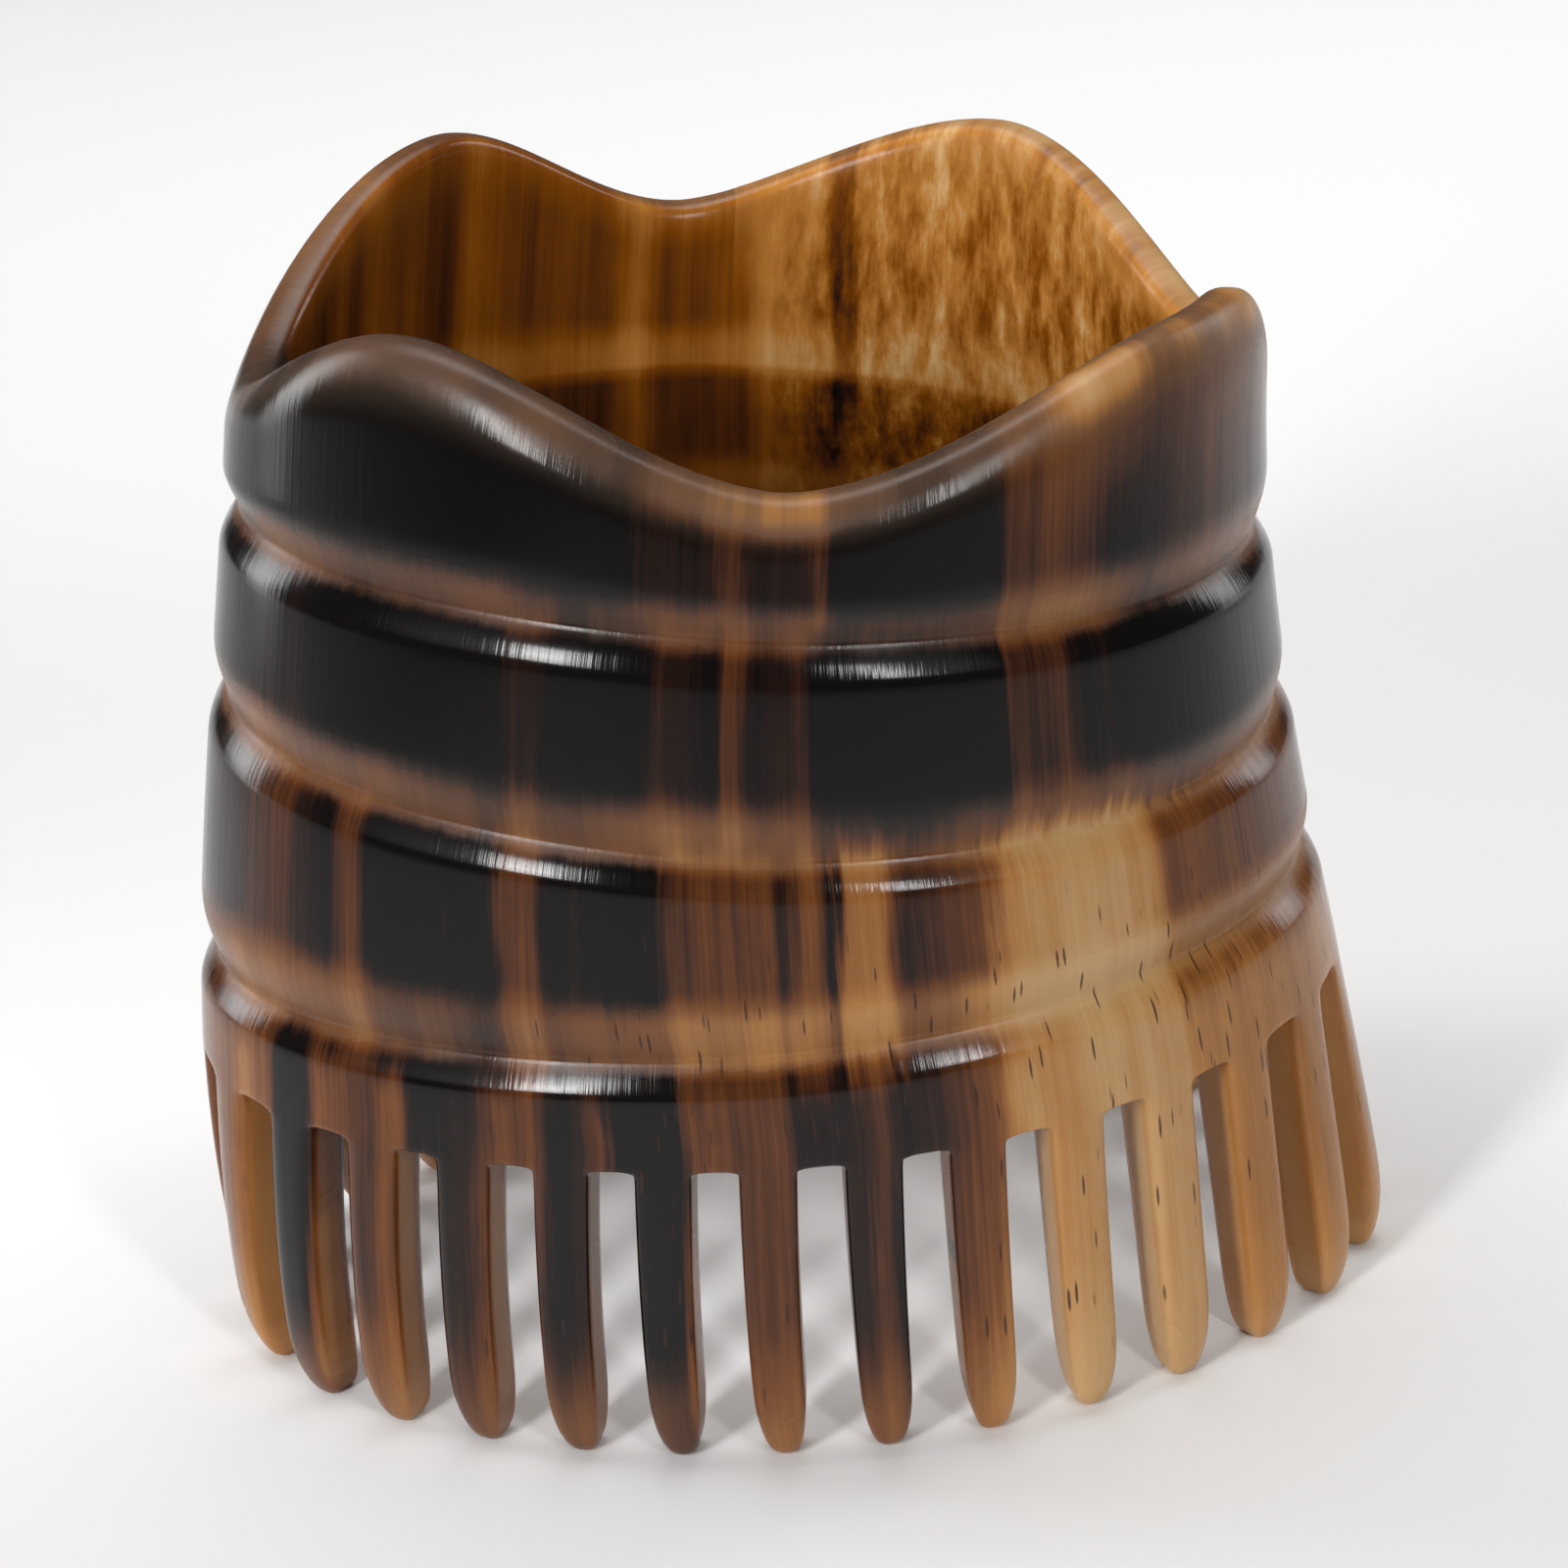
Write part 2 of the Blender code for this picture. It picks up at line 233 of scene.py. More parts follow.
class CombSizes(bpy.types.PropertyGroup):
    base_width: length("Base width", 0.0728, "Outer width at the tooth tips")
    top_width: length("Top width", 0.0608, "Outer width at the rim's mean height")
    front_depth: length("Front depth", 0.0224, "From the widest line forward to the front wall")
    back_depth: length("Back depth", 0.0290, "From the widest line back to the back wall")
    wall: length("Wall", 0.0034, "Thickness of the wall")
    bend_radius: length("Bend radius", 0.232, "Radius of the horn's axis, which curves to +X upwards")
    bend_level: length("Bend level", 0.0238, "Height where the horn's axis stands upright")
    lean_back: ratio("Lean back", 0.043, "Run towards +Y over rise of the horn's axis")
    tooth_length: length("Tooth length", 0.0201, "From the tips up to the slots' tops")
    skirt: length("Skirt", 0.0068, "Uncut wall between the slots and the lowest groove")
    low_band: length("Low band", 0.0132, "Between the lowest and the middle groove")
    middle_band: length("Middle band", 0.0109, "Between the middle and the highest groove")
    top_band: length("Top band", 0.0121, "From the highest groove to the rim's mean height")
    groove_depth: length("Groove depth", 0.0011, "How far a groove is cut into the wall")
    slot_width: length("Slot width", 0.0027, "Gap between two teeth at its top")
    slot_taper: length("Slot taper", 0.0004, "How much wider a gap is where the tips start to round")
    tip_round: length("Tip rounding", 0.0055, "Length of a tooth's rounded end")
    tooth_slant: ratio("Tooth slant", 0.10, "Sideways run over rise of a tooth")
    teeth: IntProperty(name="Teeth", description="Number of teeth round the ring", default=30, min=8, max=60)

    def levels(self):
        """Heights of the slots' tops, the three grooves and the mean rim."""
        heights = [self.tooth_length]
        for band in (self.skirt, self.low_band, self.middle_band, self.top_band):
            heights.append(heights[-1] + band)
        return heights


class CombColours(bpy.types.PropertyGroup):
    blond: colour("Blond", (0.58, 0.385, 0.19), "Horn with almost no pigment")
    golden: colour("Golden", (0.42, 0.195, 0.058), "Faintly pigmented horn")
    amber: colour("Amber", (0.205, 0.070, 0.016), "Lightly pigmented horn")
    brown: colour("Brown", (0.085, 0.027, 0.0095), "Well pigmented horn")
    umber: colour("Umber", (0.020, 0.0078, 0.0050), "Horn on the way to black")
    black: colour("Black", (0.0045, 0.0034, 0.0032), "Horn that lets no light through")
    # Partly the thin dark horn's own smoky tone, partly a painted grey sheen of reflected light.
    haze_and_sheen: colour("Haze", (0.125, 0.084, 0.056), "Thin dark horn seen from outside")
    pore: colour("Pore", (0.035, 0.013, 0.006), "The fine dark fibres in light horn")
    floor: colour("Floor", (0.95, 0.95, 0.95), "The stage's floor")


# --- sums of nodes ------------------------------------------------------------


def feed(tree, source, socket):
    """Gives a node's input a number, a colour or another node's output."""
    if isinstance(source, Value):
        tree.links.new(source.socket, socket)
    elif isinstance(source, bpy.types.NodeSocket):
        tree.links.new(source, socket)
    else:
        socket.default_value = source


def add_node(tree, kind, inputs=(), **settings):
    node = tree.nodes.new(kind)
    for name, setting in settings.items():
        setattr(node, name, setting)
    for name, source in dict(inputs).items():
        feed(tree, source, node.inputs[name])
    return node


class Value:
    """A node's output that can stand in a sum as a number does."""

    def __init__(self, tree, socket):
        self.tree = tree
        self.socket = socket

    def math(self, operation, *others):
        node = add_node(self.tree, "ShaderNodeMath", operation=operation)
        for slot, source in zip(node.inputs, (self, *others)):
            feed(self.tree, source, slot)
        return Value(self.tree, node.outputs[0])

    def __add__(self, other):
        return self.math("ADD", other)

    def __sub__(self, other):
        return self.math("SUBTRACT", other)

    def __mul__(self, other):
        return self.math("MULTIPLY", other)

    def __truediv__(self, other):
        return self.math("DIVIDE", other)

    def sine(self):
        return self.math("SINE")

    def cosine(self):
        return self.math("COSINE")

    def bent(self, exponent):
        """The value's power, with the sign that the value has."""
        return self.math("ABSOLUTE").math("POWER", exponent) * self.math("SIGN")

    def eased(self, low, high, start=0.0, end=1.0):
        """Goes from start to end as the value goes from low to high, level at both."""
        span = {"Value": self, "From Min": low, "From Max": high, "To Min": start, "To Max": end}
        node = add_node(self.tree, "ShaderNodeMapRange", span, interpolation_type="SMOOTHSTEP")
        return Value(self.tree, node.outputs["Result"])


def joined(tree, x, y, z):
    node = add_node(tree, "ShaderNodeCombineXYZ", {"X": x, "Y": y, "Z": z})
    return Value(tree, node.outputs[0])


def parted(tree, vector):
    node = add_node(tree, "ShaderNodeSeparateXYZ", {"Vector": vector})
    return [Value(tree, output) for output in node.outputs]


def vector_math(tree, operation, *sources):
    node = add_node(tree, "ShaderNodeVectorMath", operation=operation)
    for slot, source in zip(node.inputs, sources):
        feed(tree, source, slot)
    return Value(tree, node.outputs["Value" if operation == "LENGTH" else "Vector"])


# --- the horn's form ----------------------------------------------------------


FORM_SIZES = (
    "Base width",
    "Top width",
    "Front depth",
    "Back depth",
    "Bend radius",
    "Bend level",
    "Lean back",
    "Rim",
)


def group_with(name, inputs, output_kind, output_name):
    """A node group whose inputs are numbers, and the values of those inputs by name."""
    tree = bpy.data.node_groups.new(name, "GeometryNodeTree")
    for label in inputs:
        tree.interface.new_socket(label, in_out="INPUT", socket_type="NodeSocketFloat")
    tree.interface.new_socket(output_name, in_out="OUTPUT", socket_type=output_kind)
    start = tree.nodes.new("NodeGroupInput")
    return tree, {label: Value(tree, start.outputs[label]) for label in inputs}


def outline_group():
    """A point of the horn's outer surface. Angle 0 is the front, and a quarter turn is the +X side."""
    tree, given = group_with("horn_outline", ("Angle", "Height", *FORM_SIZES), "NodeSocketVector", "Point")
    sine, cosine = given["Angle"].sine(), given["Angle"].cosine()
    height = given["Height"]
    half_width = height.eased(0.0, given["Rim"], given["Base width"], given["Top width"]) * 0.5
    at_front = cosine.math("GREATER_THAN", 0.0)
    depth = given["Back depth"] + (given["Front depth"] - given["Back depth"]) * at_front
    over_bend = height - given["Bend level"]
    x = over_bend * over_bend / (given["Bend radius"] * 2.0) + half_width * sine.bent(2 / OVAL_POWER)
    y = over_bend * given["Lean back"] - depth * cosine.bent(2 / OVAL_POWER) * (sine * OVAL_SKEW + 1.0)
    end = tree.nodes.new("NodeGroupOutput")
    feed(tree, joined(tree, x, y, height), end.inputs["Point"])
    return tree


def wall_group(outline):
    """A point in the horn's wall, an inset from its outer surface."""
    names = ("Angle", "Height", "Inset", *FORM_SIZES)
    tree, given = group_with("horn_wall", names, "NodeSocketVector", "Point")
    step = 0.001  # radians to each side, for the direction along the surface
    points = []
    for turn in (given["Angle"], given["Angle"] - step, given["Angle"] + step):
        inputs = {"Angle": turn, "Height": given["Height"], **{size: given[size] for size in FORM_SIZES}}
        node = add_node(tree, "GeometryNodeGroup", node_tree=outline)
        for name, source in inputs.items():
            feed(tree, source, node.inputs[name])
        points.append(Value(tree, node.outputs["Point"]))
    along = vector_math(tree, "SUBTRACT", points[2], points[1])
    inward = vector_math(tree, "NORMALIZE", vector_math(tree, "CROSS_PRODUCT", (0.0, 0.0, 1.0), along))
    scaled = add_node(tree, "ShaderNodeVectorMath", {0: inward, "Scale": given["Inset"]}, operation="SCALE")
    end = tree.nodes.new("NodeGroupOutput")
    feed(tree, vector_math(tree, "ADD", points[0], scaled.outputs["Vector"]), end.inputs["Point"])
    return tree


def wall_point(tree, wall, angle, height, inset, form):
    node = add_node(tree, "GeometryNodeGroup", node_tree=wall)
    for name, source in {"Angle": angle, "Height": height, "Inset": inset, **form}.items():
        feed(tree, source, node.inputs[name])
    return Value(tree, node.outputs["Point"])


def rim_rise(angle):
    """The rim's rise over its mean height at an angle, as one eased step for each slope of the wave."""
    first_turn, first_rise = RIM_WAVE[0]
    start = math.radians(first_turn)
    turn = angle.math("WRAP", start + 2 * math.pi, start)
    stops = (*RIM_WAVE, (first_turn + 360, first_rise))
    rise = turn * 0.0 + first_rise
    for (low, before), (high, after) in zip(stops, stops[1:]):
        rise = rise + turn.eased(math.radians(low), math.radians(high), 0.0, after - before)
    return rise


def lifted(height, angle, levels):
    """The height after the tilts and the wave. Between two levels the lift eases from one to the other."""
    sine, cosine = angle.sine(), angle.cosine()
    tilts = (ROOT_TILT, LOW_GROOVE_TILT, MIDDLE_GROOVE_TILT, HIGH_GROOVE_TILT)
    lifts = [sine * side + cosine * front for side, front in tilts] + [rim_rise(angle)]
    total = height + height.eased(0.0, levels[0], 0.0, lifts[0])
    for (low, low_lift), (high, high_lift) in zip(zip(levels, lifts), zip(levels[1:], lifts[1:])):
        total = total + height.eased(low, high, 0.0, high_lift - low_lift)
    return total


# --- one tooth and the wall above it ------------------------------------------


def middle_perimeter(sizes):
    """Length round the middle of the wall at the tooth tips."""

    def bent(value):
        return math.copysign(abs(value) ** (2 / OVAL_POWER), value)

    points = []
    for step in range(PATH_STEPS + 1):
        turn = 2 * math.pi * step / PATH_STEPS
        sine, cosine = math.sin(turn), math.cos(turn)
        depth = sizes.front_depth if cosine > 0 else sizes.back_depth
        deep = depth * bent(cosine) * (1 + OVAL_SKEW * sine)
        points.append(Vector((sizes.base_width / 2 * bent(sine), -deep)))
    outside = sum((after - before).length for before, after in zip(points, points[1:]))
    return outside - math.pi * sizes.wall


def arc(start, end, steps, leaves_level, sweep=math.pi / 2):
    """Points after start, up to end, on an elliptic arc that leaves start level or upright."""
    points = []
    for step in range(1, steps + 1):
        turn = sweep * step / steps
        bowed = (1 - math.cos(turn)) / (1 - math.cos(sweep))
        direct = math.sin(turn) / math.sin(sweep)
        across, down = (direct, bowed) if leaves_level else (bowed, direct)
        points.append((start[0] + (end[0] - start[0]) * across, start[1] + (end[1] - start[1]) * down))
    return points


def groove_side(depth, height, reach, steps):
    """(inset, height) from the band's face to the groove's bottom, round at both ends."""
    rows = []
    for across, level in arc((0.0, reach), (1.0, 0.0), steps, False, GROOVE_ARC):
        dished = (1 + math.cos(math.pi * level / reach)) / 2
        rows.append((depth * (GROOVE_SHARPNESS * across + (1 - GROOVE_SHARPNESS) * dished), height + level))
    return rows


def outer_rows(sizes):
    """(inset, height) down the outside, from the rim's crown to the slots' tops."""
    root, *grooves, rim = sizes.levels()
    width, drop = RIM_BEVEL
    crown = (width, rim)
    rows = [crown, *arc(crown, (0.0, rim - drop), RIM_STEPS, True), (0.0, rim - drop - EDGE)]
    above, below = GROOVE_STEPS
    for height in reversed(grooves):
        rows += [(0.0, height + GROOVE_ROLL + EDGE), (0.0, height + GROOVE_ROLL)]
        rows += groove_side(sizes.groove_depth, height, GROOVE_ROLL, above)
        rows += groove_side(sizes.groove_depth, height, -GROOVE_SHOULDER, below)[-2::-1]
        rows += [(0.0, height - GROOVE_SHOULDER), (0.0, height - GROOVE_SHOULDER - EDGE)]
    return rows + [(0.0, root + over) for over in ROOT_LOOPS]


def inner_rows(sizes):
    """(inset, height) down the inside, from the rim to the slots' tops."""
    root, *grooves, rim = sizes.levels()
    edge = (sizes.wall, rim - RIM_INNER_RADIUS)
    crown = (sizes.wall - RIM_INNER_RADIUS, rim)
    rows = [crown, *arc(crown, edge, RIM_INNER_STEPS, True), (sizes.wall, edge[1] - EDGE)]
    for height in reversed(grooves):
        rows += [(sizes.wall, height + INNER_LOOP), (sizes.wall, height - INNER_LOOP)]
    return rows + [(sizes.wall, root + over) for over in ROOT_LOOPS]


def tooth_rows(sizes, tooth_half):
    """(half width, outer inset, inner inset, height) down a tooth, from under the slots' tops to its tip."""
    root = sizes.tooth_length
    straight = (root - EDGE, root - 3 * EDGE, *(root * share for share in TOOTH_LOOPS), sizes.tip_round)
    rows = []
    for height in straight:
        share = (root - height) / (root - sizes.tip_round)
        rows.append((tooth_half - sizes.slot_taper / 2 * share, 0.0, sizes.wall, height))
    widest = rows[-1][0]
    for step in range(1, TIP_STEPS + 1):
        turn = math.pi / 2 * step / TIP_STEPS
        bowed = 1 - math.cos(turn)
        height = sizes.tip_round * (1 - math.sin(turn))
        rise = min(height / TIP_INNER_RADIUS, 1.0)
        inner = sizes.wall - TIP_INNER_RADIUS * (1 - math.sqrt(1 - (1 - rise) ** 2))
        rows.append((widest - (widest - TIP_FLAT / 2) * bowed, TIP_CURL * bowed, inner, height))
    return rows


def join_rows(drawn, rows, closed=False):
    """Quads between each row of corners and the next."""
    for upper, lower in zip(rows, rows[1:]):
        for index in range(0 if closed else 1, len(upper)):
            drawn.faces.new((upper[index - 1], upper[index], lower[index], lower[index - 1]))


def tooth_module(sizes, ring_radius):
    """One tooth and its share of the wall, bent round Z, from one slot's middle to the next."""
    pitch = 2 * math.pi * ring_radius / sizes.teeth
    slot_half = sizes.slot_width / 2
    tooth_half = pitch / 2 - slot_half
    outer_radius = ring_radius + sizes.wall / 2
    drawn = bmesh.new()

    def corner(along, inset, height):
        turn = (along + pitch / 2) / ring_radius
        radius = outer_radius - inset
        return drawn.verts.new((radius * math.sin(turn), -radius * math.cos(turn), height))

    fine = (0.0, TOOTH_CROWN * tooth_half, tooth_half, tooth_half + SLOT_LIP)
    alongs = [-pitch / 2, *[-value for value in fine[:0:-1]], *fine, pitch / 2]
    outside = [[corner(along, *row) for along in alongs] for row in outer_rows(sizes)]
    inside = [[corner(along, *row) for along in alongs] for row in inner_rows(sizes)]
    join_rows(drawn, outside)
    join_rows(drawn, inside)
    join_rows(drawn, [outside[0], inside[0]])

    root = sizes.tooth_length
    across_wall = (EDGE, sizes.wall - EDGE)
    sides = ((0, 1, 2), (6, 7, 8))
    ceilings = []
    for side in sides:
        middle = [[corner(alongs[column], inset, root) for column in side] for inset in across_wall]
        ends = [[outside[-1][column] for column in side], [inside[-1][column] for column in side]]
        join_rows(drawn, [ends[0], *middle, ends[1]])
        ceilings.append(middle)
    left = [row[2] for row in ceilings[0]]
    right = [row[0] for row in ceilings[1]]
    ring = [*outside[-1][2:7], *right, *inside[-1][6:1:-1], *left[::-1]]
    for vertex in ring:
        if vertex in (outside[-1][2], outside[-1][6], inside[-1][2], inside[-1][6], *left, *right):
            vertex.co.z -= SLOT_CORNER_DROP

    rings = [ring]
    shares = (-1.0, -TOOTH_CROWN, 0.0, TOOTH_CROWN, 1.0)
    for half, outer, inner, height in tooth_rows(sizes, tooth_half):
        edge = min(TOOTH_EDGE, (inner - outer) * EDGE_SHARE)
        drop = TOOTH_DROP * min(1.0, (root - height) / TOOTH_DROP_START)
        row = [corner(share * half, outer + drop * (abs(share) == 1.0), height) for share in shares]
        row += [corner(half, inset, height) for inset in (outer + edge, inner - edge)]
        row += [corner(-share * half, inner, height) for share in shares]
        row += [corner(-half, inset, height) for inset in (inner - edge, outer + edge)]
        rings.append(row)
    join_rows(drawn, rings, closed=True)

    # The last row's tip is closed by two more lines of corners across it.
    last = rings[-1]
    lines = []
    for inset, left_end, right_end in ((outer + edge, last[13], last[5]), (inner - edge, last[12], last[6])):
        between = [corner(share * half, inset, height) for share in shares[1:-1]]
        lines.append([left_end, *between, right_end])
    join_rows(drawn, [last[0:5], *lines, last[11:6:-1]])

    bmesh.ops.recalc_face_normals(drawn, faces=drawn.faces)
    outermost = max(drawn.faces, key=lambda face: face.calc_center_median().xy.length)
    if outermost.normal.dot(outermost.calc_center_median()) < 0:
        bmesh.ops.reverse_faces(drawn, faces=drawn.faces)
    mesh = bpy.data.meshes.new("tooth_module")
    drawn.to_mesh(mesh)
    drawn.free()
    return mesh


def comb_tree():
    """Repeats the tooth module round the ring, smooths it and lays it on the horn."""
    tree = bpy.data.node_groups.new("ring_comb", "GeometryNodeTree")
    tree.is_modifier = True
    tree.interface.new_socket("Geometry", in_out="OUTPUT", socket_type="NodeSocketGeometry")
    tree.interface.new_socket("Module", in_out="INPUT", socket_type="NodeSocketGeometry")
    tree.interface.new_socket("Teeth", in_out="INPUT", socket_type="NodeSocketInt")
    tree.interface.new_socket("Smoothing", in_out="INPUT", socket_type="NodeSocketInt")
    tree.interface.new_socket("Material", in_out="INPUT", socket_type="NodeSocketMaterial")
    level_names = ("Slot top", "Low groove", "Middle groove", "High groove")
    for label in (*FORM_SIZES, *level_names, "Wall", "Ring radius", "Tooth slant"):
        tree.interface.new_socket(label, in_out="INPUT", socket_type="NodeSocketFloat")
    start = tree.nodes.new("NodeGroupInput")
    given = {output.name: Value(tree, output) for output in start.outputs if output.name}
    form = {size: given[size] for size in FORM_SIZES}
    levels = [given[name] for name in (*level_names, "Rim")]
    wall = wall_group(outline_group())

    index = Value(tree, tree.nodes.new("GeometryNodeInputIndex").outputs[0])
    spin = joined(tree, 0.0, 0.0, index * (2 * math.pi) / given["Teeth"])
    points = add_node(tree, "GeometryNodePoints", {"Count": given["Teeth"]})
    placed = add_node(
        tree,
        "GeometryNodeInstanceOnPoints",
        {"Points": points.outputs[0], "Instance": given["Module"], "Rotation": spin},
    )
    real = add_node(tree, "GeometryNodeRealizeInstances", {"Geometry": placed.outputs[0]})
    near = {"Geometry": real.outputs[0], "Distance": MERGE_DISTANCE}
    merged = add_node(tree, "GeometryNodeMergeByDistance", near)
    smooth = add_node(
        tree, "GeometryNodeSubdivisionSurface", {"Mesh": merged.outputs[0], "Level": given["Smoothing"]}
    )

    # The horn's outline at the tooth tips, and the angle at each share of its length.
    line = add_node(tree, "GeometryNodeMeshLine", {"Count": PATH_STEPS + 1})
    curve = add_node(tree, "GeometryNodeMeshToCurve", {"Mesh": line.outputs[0]})
    path_angle = index * (2 * math.pi / PATH_STEPS)
    path_point = wall_point(tree, wall, path_angle, 0.0, given["Wall"] * 0.5, form)
    path = add_node(tree, "GeometryNodeSetPosition", {"Geometry": curve.outputs[0], "Position": path_point})
    measured = add_node(tree, "GeometryNodeCurveLength", {"Curve": path.outputs[0]})
    path_length = Value(tree, measured.outputs[0])

    x, y, height = parted(tree, Value(tree, tree.nodes.new("GeometryNodeInputPosition").outputs[0]))
    turn = x.math("ARCTAN2", y * -1.0) / (2 * math.pi)
    slanted = levels[0] + SLANT_MARGIN
    angles = []
    for rise in (height.math("MAXIMUM", 0.0).math("MINIMUM", slanted), slanted):
        share = (turn + rise * given["Tooth slant"] / path_length + 1.0).math("FRACT")
        sample = add_node(
            tree, "GeometryNodeSampleCurve", {"Curves": path.outputs[0]}, data_type="FLOAT", mode="FACTOR"
        )
        feed(tree, path_angle, sample.inputs["Value"])
        feed(tree, share, sample.inputs["Factor"])
        angles.append(Value(tree, sample.outputs["Value"]))
    angle, fibre = angles
    inset = given["Ring radius"] + given["Wall"] * 0.5 - vector_math(tree, "LENGTH", joined(tree, x, y, 0.0))
    risen = lifted(height, angle, levels)

    # Where each point lies in the horn, kept for the material: round it, up it, and in through the wall.
    # The fibres lean with the teeth.
    round_horn = joined(tree, fibre.sine(), fibre.cosine(), height * MM)
    kept = add_node(tree, "GeometryNodeStoreNamedAttribute", {"Geometry": smooth.outputs[0], "Name": "grain"})
    kept.data_type = "FLOAT_VECTOR"
    feed(tree, round_horn, kept.inputs["Value"])
    deep = add_node(tree, "GeometryNodeStoreNamedAttribute", {"Geometry": kept.outputs[0], "Name": "inset"})
    deep.data_type = "FLOAT"
    feed(tree, inset * MM, deep.inputs["Value"])
    laid = add_node(tree, "GeometryNodeSetPosition", {"Geometry": deep.outputs[0]})
    feed(tree, wall_point(tree, wall, angle, risen, inset, form), laid.inputs["Position"])
    shaded = add_node(tree, "GeometryNodeSetShadeSmooth", {"Geometry": laid.outputs[0]})
    whole = add_node(tree, "GeometryNodeRealizeInstances", {"Geometry": shaded.outputs[0]})
    finish = {"Geometry": whole.outputs[0], "Material": given["Material"]}
    coated = add_node(tree, "GeometryNodeSetMaterial", finish)
    end = tree.nodes.new("NodeGroupOutput")
    feed(tree, coated.outputs[0], end.inputs["Geometry"])
    return tree


def set_inputs(modifier, values):
    """Sets a Geometry Nodes modifier's inputs by their sockets' identifiers."""
    sockets = modifier.node_group.interface.items_tree
    identifiers = {item.name: item.identifier for item in sockets if item.in_out == "INPUT"}
    for name, value in values.items():
        modifier[identifiers[name]] = value


def plain_mesh(obj, name):
    """The object's evaluated mesh as its own data, with the modifiers gone."""
    bpy.context.view_layer.update()
    graph = bpy.context.evaluated_depsgraph_get()
    mesh = bpy.data.meshes.new_from_object(obj.evaluated_get(graph))
    mesh.name = name
    obj.modifiers.clear()
    obj.data = mesh
    return mesh


def fitted_to_frame(mesh):
    """Lays the mesh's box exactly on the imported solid's box, which its smooth edges differ from by a hair."""
    frame_low, frame_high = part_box("horn_comb")
    corners = [vertex.co for vertex in mesh.vertices]
    low = Vector([min(corner[axis] for corner in corners) for axis in range(3)])
    high = Vector([max(corner[axis] for corner in corners) for axis in range(3)])
    scale = [(frame_high[axis] - frame_low[axis]) / (high[axis] - low[axis]) for axis in range(3)]
    mesh.transform(Matrix.Translation(frame_low) @ Matrix.Diagonal((*scale, 1.0)) @ Matrix.Translation(-low))


# --- the horn's finish --------------------------------------------------------


def attribute(tree, name, output):
    node = add_node(tree, "ShaderNodeAttribute", attribute_name=name)
    return Value(tree, node.outputs[output])


def ramp(tree, source, stops, low, high):
    """A grey ramp from low to high through (place, shade) stops."""
    share = (source - low) / (high - low)
    node = add_node(tree, "ShaderNodeValToRGB", {0: share})
    band = node.color_ramp
    band.elements.remove(band.elements[1])
    for number, (place, shade) in enumerate(stops):
        position = (place - low) / (high - low)
        element = band.elements[0] if number == 0 else band.elements.new(position)
        element.position = position
        element.color = (shade, shade, shade, 1.0)
    return Value(tree, node.outputs["Color"])


def noise(tree, place, across, along, detail, roughness):
    """Noise from 0 to 1 with grains this many millimetres across the fibres and along them."""
    scaled = vector_math(tree, "MULTIPLY", place, (1 / across, 1 / across, 1 / along))
    grains = {"Vector": scaled, "Scale": 1.0, "Detail": detail, "Roughness": roughness}
    return Value(tree, add_node(tree, "ShaderNodeTexNoise", grains).outputs[0])


def blended(share, first, second):
    """First where the share is 0 and second where it is 1."""
    return first + (second - first) * share


def pigment_chart(tree, degrees, level):
    """How dark the horn is round the ring and up it, from 0 for clear to over 1 for black."""
    bands = [ramp(tree, degrees, stops, -90.0, 90.0) for stops in FRONT_PIGMENT]
    front = bands[0]
    for band, (start, end) in zip(bands[1:], BAND_BLENDS):
        front = blended(level.eased(start, end), front, band)
    back_turn = degrees.math("WRAP", 270.0, -90.0)
    back_low, back_high = [ramp(tree, back_turn, stops, 90.0, 270.0) for stops in BACK_PIGMENT]
    back = blended(level.eased(*BACK_BLEND), back_low, back_high)
    return blended(back_turn.eased(*FRONT_END) - back_turn.eased(*BACK_END), front, back)


def thinned(degrees, level, inset, sizes):
    """How much lighter the horn is at the grooves, rim, tips and cut faces: partly pigment cut away, partly
    painted glow where light gets through.
    """
    root, *grooves, rim = [height * MM for height in sizes.levels()]
    wall = sizes.wall * MM

    def near_rim(start, end, share):
        return level.eased(rim + start, rim + end, 0.0, share)

    total = near_rim(*RIM_THIN)
    total = total + near_rim(*RIM_SIDE_THIN) * degrees.eased(*RIM_SIDE)
    start, end = GROOVE_THIN_START
    for groove, (reach, share) in zip(grooves, GROOVE_THIN):
        total = total + level.eased(groove + start, groove + end, 0.0, share)
        total = total - level.eased(groove + reach - GROOVE_THIN_FADE, groove + reach, 0.0, share)
    below = level.eased(root - 1.0, root + 0.4, CUT_THIN, 0.0)
    cut = (inset.eased(0.35, 1.0) - inset.eased(wall - 0.9, wall - 0.25)) * below
    valley_start, valley_end = RIM_VALLEY
    total = total + near_rim(*RIM_VALLEY_THIN) * (degrees.eased(*valley_start) - degrees.eased(*valley_end))
    total = total * inset.eased(wall * 0.5, wall * 0.9, 1.0, INNER_THIN)
    tip_reach, tip_share = TIP_THIN
    return total.math("MAXIMUM", cut).math("MAXIMUM", level.eased(0.0, tip_reach, tip_share, 0.0))


def pores(tree, place, level, degrees):
    """Fine dark dashes along the fibres."""
    scaled = vector_math(tree, "MULTIPLY", place, (1 / PORE_SPACING, 1 / PORE_SPACING, 1 / PORE_RUN))
    node = add_node(tree, "ShaderNodeTexVoronoi", {"Vector": scaled, "Scale": 1.0})
    dash = Value(tree, node.outputs["Distance"]).eased(*PORE_EDGE, 1.0, 0.0)
    chance = parted(tree, node.outputs["Color"])[0].math("GREATER_THAN", PORE_RARITY)
    bottom, top = PORE_LEVELS
    zone = level.eased(*bottom) - level.eased(*top)
    side = degrees.eased(*PORE_LEFT) - degrees.eased(*PORE_RIGHT)
    return dash * chance * zone * side


